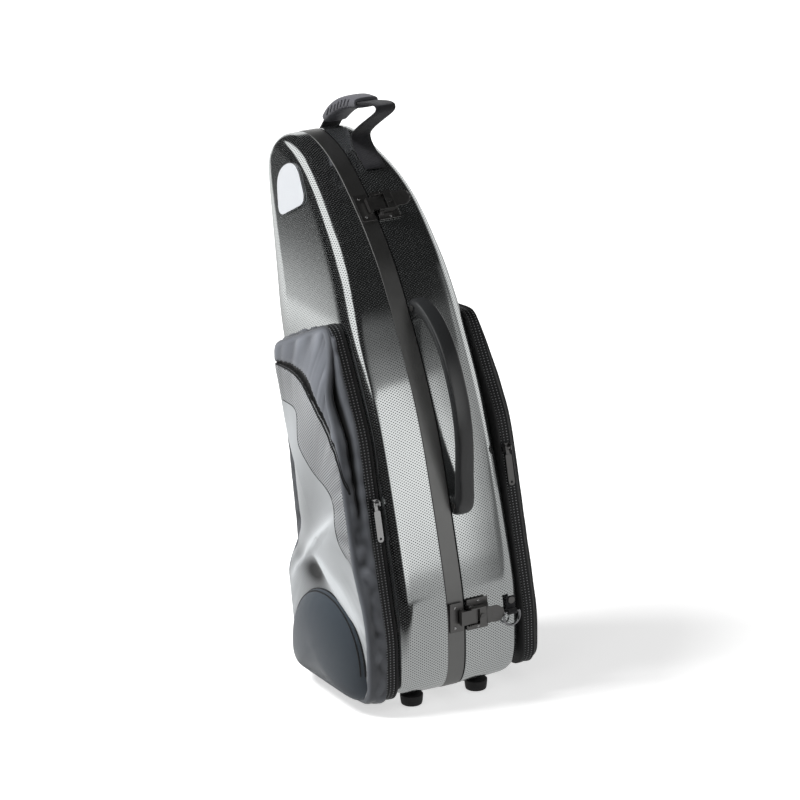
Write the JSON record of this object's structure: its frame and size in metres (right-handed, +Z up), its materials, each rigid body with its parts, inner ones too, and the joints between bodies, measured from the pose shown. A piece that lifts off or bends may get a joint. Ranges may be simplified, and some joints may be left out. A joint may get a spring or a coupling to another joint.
{
  "type": "alto saxophone case",
  "caption": "Shaped hard case standing on rubber feet: hinged lid with draw latches, side and top handles, zipped front and back pockets and hanging strap rings.",
  "frame": {"origin": "middle of the bounding box at floor level", "axes": "+Z up, -Y out of the lid face with the front pocket, +X out of the side with the latches and the side handle"},
  "size_m": [0.3972, 0.2716, 0.6912],
  "materials": {
    "laminate": "gloss with a fine woven pattern",
    "band": "satin",
    "rubber": "matte",
    "lining": "plush",
    "latch_metal": "satin gunmetal",
    "steel": "polished",
    "moulded": "satin",
    "webbing": "woven",
    "grip_rubber": "matte",
    "plate_silver": "satin",
    "nylon": "sheen",
    "dome_cloth": "matte",
    "zip_tape": "matte"
  },
  "bodies": {
    "base_case": {"base_shell": "laminate", "rim_seal": "rubber", "base_liner": "lining", "body_cradle": "lining", "neck_cradle": "lining", "base_foot_latch": "rubber", "base_foot_hinge": "rubber", "lower_hinge_base_leaf": "latch_metal", "lower_hinge_pin": "steel", "upper_hinge_base_leaf": "latch_metal", "upper_hinge_pin": "steel", "lower_latch_plate": "latch_metal", "lower_latch_pin": "steel", "upper_latch_plate": "latch_metal", "upper_latch_pin": "steel", "side_handle": "moulded", "side_handle_screw_lower": "steel", "side_handle_screw_upper": "steel", "top_strap": "webbing", "top_grip": "grip_rubber", "latch_side_dring_tab": "webbing", "latch_side_dring_rivet": "latch_metal", "hinge_side_dring_tab": "webbing", "hinge_side_dring_rivet": "latch_metal", "back_pocket_panel": "zip_tape", "stowed_shoulder_strap_latch": "webbing", "stowed_shoulder_strap_hinge": "webbing"},
    "lid": {"lid_shell": "laminate", "lid_valance": "band", "lid_liner": "lining", "lid_foot_latch": "rubber", "lid_foot_hinge": "rubber", "lower_hinge_lid_leaf": "latch_metal", "upper_hinge_lid_leaf": "latch_metal", "lower_latch_keeper": "latch_metal", "upper_latch_keeper": "latch_metal", "name_plate": "plate_silver", "front_pocket_panel": "zip_tape"},
    "front_cover": {"front_pocket_cover": "nylon", "front_pocket_zip": "zip_tape", "dome_pocket": "dome_cloth"},
    "back_cover": {"back_pocket_cover": "nylon", "back_pocket_zip": "zip_tape"},
    "front_slider": {"front_zip_slider": "latch_metal"},
    "front_pull": {"front_zip_pull": "latch_metal"},
    "back_slider": {"back_zip_slider": "latch_metal"},
    "back_pull": {"back_zip_pull": "latch_metal"},
    "latch_side_ring": {"latch_side_d_ring": "steel"},
    "hinge_side_ring": {"hinge_side_d_ring": "steel"},
    "lower_lever": {"lower_latch_lever": "latch_metal"},
    "lower_claw": {"lower_latch_claw": "latch_metal"},
    "lower_lock": {"lower_latch_lock": "steel"},
    "upper_lever": {"upper_latch_lever": "latch_metal"},
    "upper_claw": {"upper_latch_claw": "latch_metal"},
    "upper_lock": {"upper_latch_lock": "steel"}
  },
  "joints": [
    {"name": "lid_hinge", "type": "hinge", "parent": "base_case", "child": "lid", "pos_m": [-0.0854, 0.0182, 0.138], "axis": [0.247, 0, -0.969], "range_deg": [0, 105]},
    {"name": "front_pocket_cover_hinge", "type": "hinge", "parent": "lid", "child": "front_cover", "pos_m": [-0.01496, -0.0717, 0.00995], "axis": [0.1637, 0, -0.9865], "range_deg": [0, 70]},
    {"name": "back_pocket_cover_hinge", "type": "hinge", "parent": "base_case", "child": "back_cover", "pos_m": [-0.02121, 0.11072, 0.01796], "axis": [-0.1371, -0.0153, 0.9904], "range_deg": [0, 70]},
    {"name": "lower_lever_pivot", "type": "hinge", "parent": "base_case", "child": "lower_lever", "pos_m": [0.18823, 0.02275, 0.11164], "axis": [0.0206, 0, -0.9998], "range_deg": [0, 90]},
    {"name": "lower_claw_pivot", "type": "hinge", "parent": "lower_lever", "child": "lower_claw", "pos_m": [0.19123, 0.02875, 0.1117], "axis": [0.0206, 0, -0.9998], "range_deg": [-108, 0]},
    {"name": "lower_lock_turn", "type": "hinge", "parent": "lower_lever", "child": "lower_lock", "pos_m": [0.19523, 0.03605, 0.11178], "axis": [0.9998, 0, 0.0206], "range_deg": [0, 90]},
    {"name": "upper_lever_pivot", "type": "hinge", "parent": "base_case", "child": "upper_lever", "pos_m": [-0.02203, 0.02275, 0.57276], "axis": [0.7209, 0, -0.6931], "range_deg": [0, 90]},
    {"name": "upper_claw_pivot", "type": "hinge", "parent": "upper_lever", "child": "upper_claw", "pos_m": [-0.01995, 0.02875, 0.57492], "axis": [0.7209, 0, -0.6931], "range_deg": [-108, 0]},
    {"name": "upper_lock_turn", "type": "hinge", "parent": "upper_lever", "child": "upper_lock", "pos_m": [-0.01718, 0.03605, 0.57781], "axis": [0.6931, 0, 0.7209], "range_deg": [0, 90]},
    {"name": "latch_side_ring_swing", "type": "hinge", "parent": "base_case", "child": "latch_side_ring", "pos_m": [0.18597, 0.08205, 0.105], "axis": [0, -1, 0], "range_deg": [0, 110]},
    {"name": "hinge_side_ring_swing", "type": "hinge", "parent": "base_case", "child": "hinge_side_ring", "pos_m": [-0.07693, 0.08205, 0.10396], "axis": [0, 1, 0], "range_deg": [0, 110]},
    {"name": "front_slider_run", "type": "slide", "parent": "front_cover", "child": "front_slider", "axis": [-0.2407, 0, 0.9706], "range_m": [-0.135, 0.045]},
    {"name": "front_pull_swing", "type": "hinge", "parent": "front_slider", "child": "front_pull", "pos_m": [0.13776, -0.07535, 0.25752], "axis": [0, -1, 0], "range_deg": [0, 120]},
    {"name": "back_slider_run", "type": "slide", "parent": "back_cover", "child": "back_slider", "axis": [-0.2259, -0.015, 0.974], "range_m": [-0.165, 0.012]},
    {"name": "back_pull_swing", "type": "hinge", "parent": "back_slider", "child": "back_pull", "pos_m": [0.13229, 0.11015, 0.29242], "axis": [0, -1, 0], "range_deg": [0, 120]}
  ],
  "couplings": [
    {"joint": "lower_claw_pivot", "follows": "lower_lever_pivot", "ratio": -1.2},
    {"joint": "upper_claw_pivot", "follows": "upper_lever_pivot", "ratio": -1.2}
  ]
}
